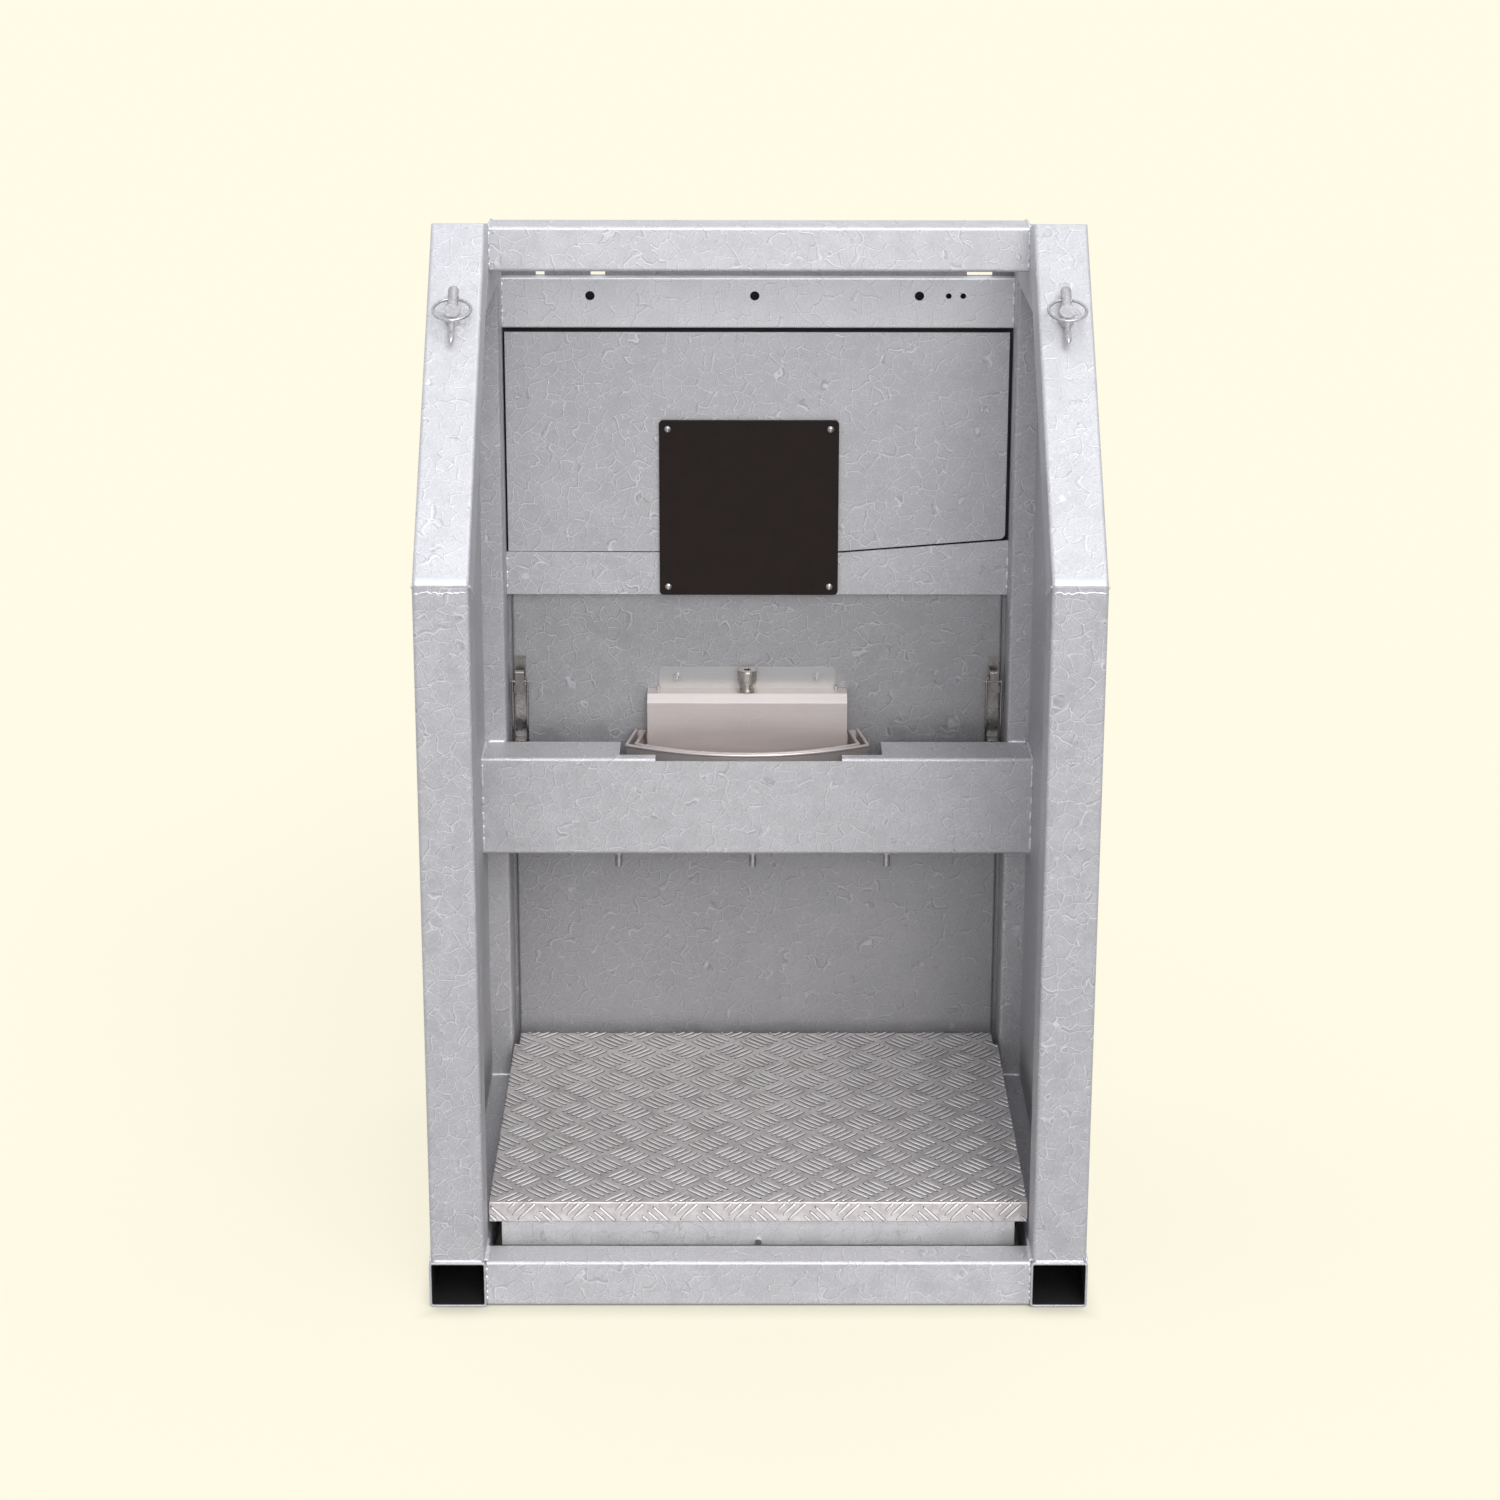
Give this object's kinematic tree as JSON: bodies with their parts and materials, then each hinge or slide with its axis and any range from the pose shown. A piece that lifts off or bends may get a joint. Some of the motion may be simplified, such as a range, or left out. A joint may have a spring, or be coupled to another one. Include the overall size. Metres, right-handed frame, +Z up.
{
  "type": "livestock drinking weigh station",
  "caption": "Open-fronted galvanised steel stall with a tread-plate weigh platform, a shelf with a covered drinking bowl and a flat black reader plate above it.",
  "frame": {"origin": "centre of the footprint on the floor, half way along the base tubes", "axes": "+Z up; the open front faces -Y; +X is to the right seen from the front"},
  "size_m": [0.854, 0.678, 1.352],
  "materials": {
    "coil_plastic": "moulded",
    "antenna_black": "smooth black plastic",
    "zinc": "bright zinc plate",
    "galvanised": "hot-dip galvanised, spangled satin",
    "stainless": "brushed stainless",
    "float_plastic": "moulded",
    "nickel": "nickel plated brass",
    "load_cell": "anodised",
    "tread": "five-bar tread, satin"
  },
  "bodies": {
    "station_frame": {"aerial_coil": "coil_plastic", "antenna_plate": "antenna_black", "antenna_screws": "zinc", "back_panel": "galvanised", "bowl": "stainless", "bowl_liner": "stainless", "bracket_screws": "zinc", "cover_bracket": "stainless", "cover_studs": "stainless", "drilled_beam": "galvanised", "float_valve": "nickel", "front_cell_rail": "galvanised", "front_crossbar": "galvanised", "left_base_tube": "galvanised", "left_front_post": "galvanised", "left_latch_base": "zinc", "left_latch_catch": "zinc", "left_pin_stud": "zinc", "left_rear_post": "galvanised", "left_side_panel": "galvanised", "left_side_rail": "galvanised", "left_sloping_rail": "galvanised", "load_cell_front_left": "load_cell", "load_cell_front_right": "load_cell", "load_cell_rear_left": "load_cell", "load_cell_rear_right": "load_cell", "lower_strip": "galvanised", "mid_rail": "galvanised", "mid_rail_bolts": "zinc", "mid_rail_nuts": "zinc", "rear_cell_rail": "galvanised", "rear_cover": "galvanised", "rear_crossbar": "galvanised", "right_base_tube": "galvanised", "right_front_post": "galvanised", "right_latch_base": "zinc", "right_latch_catch": "zinc", "right_pin_stud": "zinc", "right_rear_post": "galvanised", "right_side_panel": "galvanised", "right_side_rail": "galvanised", "right_sloping_rail": "galvanised", "top_beam": "galvanised", "tread_plate": "tread", "upper_panel": "galvanised", "valve_cover": "stainless", "water_fitting": "nickel", "weigh_frame": "galvanised", "weigh_frame_screw": "zinc"},
    "left_pin": {"left_linch_pin": "zinc"},
    "left_ring": {"left_linch_ring": "zinc"},
    "right_pin": {"right_linch_pin": "zinc"},
    "right_ring": {"right_linch_ring": "zinc"},
    "left_lever": {"left_latch_lever": "zinc"},
    "left_bail": {"left_latch_bail": "zinc"},
    "right_lever": {"right_latch_lever": "zinc"},
    "right_bail": {"right_latch_bail": "zinc"},
    "float_lever": {"float_arm": "nickel", "float": "float_plastic"}
  },
  "joints": [
    {"name": "left_pin_slide", "type": "slide", "parent": "station_frame", "child": "left_pin", "axis": [0, 0.7071, 0.7071], "range_m": [0, 0.062]},
    {"name": "left_ring_flip", "type": "hinge", "parent": "left_pin", "child": "left_ring", "pos_m": [-0.39, -0.05357, 1.27123], "axis": [-1, 0, 0], "range_deg": [0, 125]},
    {"name": "left_latch_throw", "type": "hinge", "parent": "station_frame", "child": "left_lever", "pos_m": [-0.339, 0.307, 0.645], "axis": [1, 0, 0], "range_deg": [0, 110]},
    {"name": "left_bail_pivot", "type": "hinge", "parent": "left_lever", "child": "left_bail", "pos_m": [-0.339, 0.307, 0.654], "axis": [1, 0, 0], "range_deg": [-110, 0]},
    {"name": "right_pin_slide", "type": "slide", "parent": "station_frame", "child": "right_pin", "axis": [0, 0.7071, 0.7071], "range_m": [0, 0.062]},
    {"name": "right_ring_flip", "type": "hinge", "parent": "right_pin", "child": "right_ring", "pos_m": [0.39, -0.05357, 1.27123], "axis": [-1, 0, 0], "range_deg": [0, 125]},
    {"name": "right_latch_throw", "type": "hinge", "parent": "station_frame", "child": "right_lever", "pos_m": [0.339, 0.307, 0.645], "axis": [1, 0, 0], "range_deg": [0, 110]},
    {"name": "right_bail_pivot", "type": "hinge", "parent": "right_lever", "child": "right_bail", "pos_m": [0.339, 0.307, 0.654], "axis": [1, 0, 0], "range_deg": [-110, 0]},
    {"name": "float_lever_pivot", "type": "hinge", "parent": "station_frame", "child": "float_lever", "pos_m": [0.012, 0.303, 0.601], "axis": [0, 1, 0], "range_deg": [-10, 0]}
  ],
  "couplings": [
    {"joint": "left_bail_pivot", "follows": "left_latch_throw", "ratio": -1},
    {"joint": "right_bail_pivot", "follows": "right_latch_throw", "ratio": -1}
  ]
}
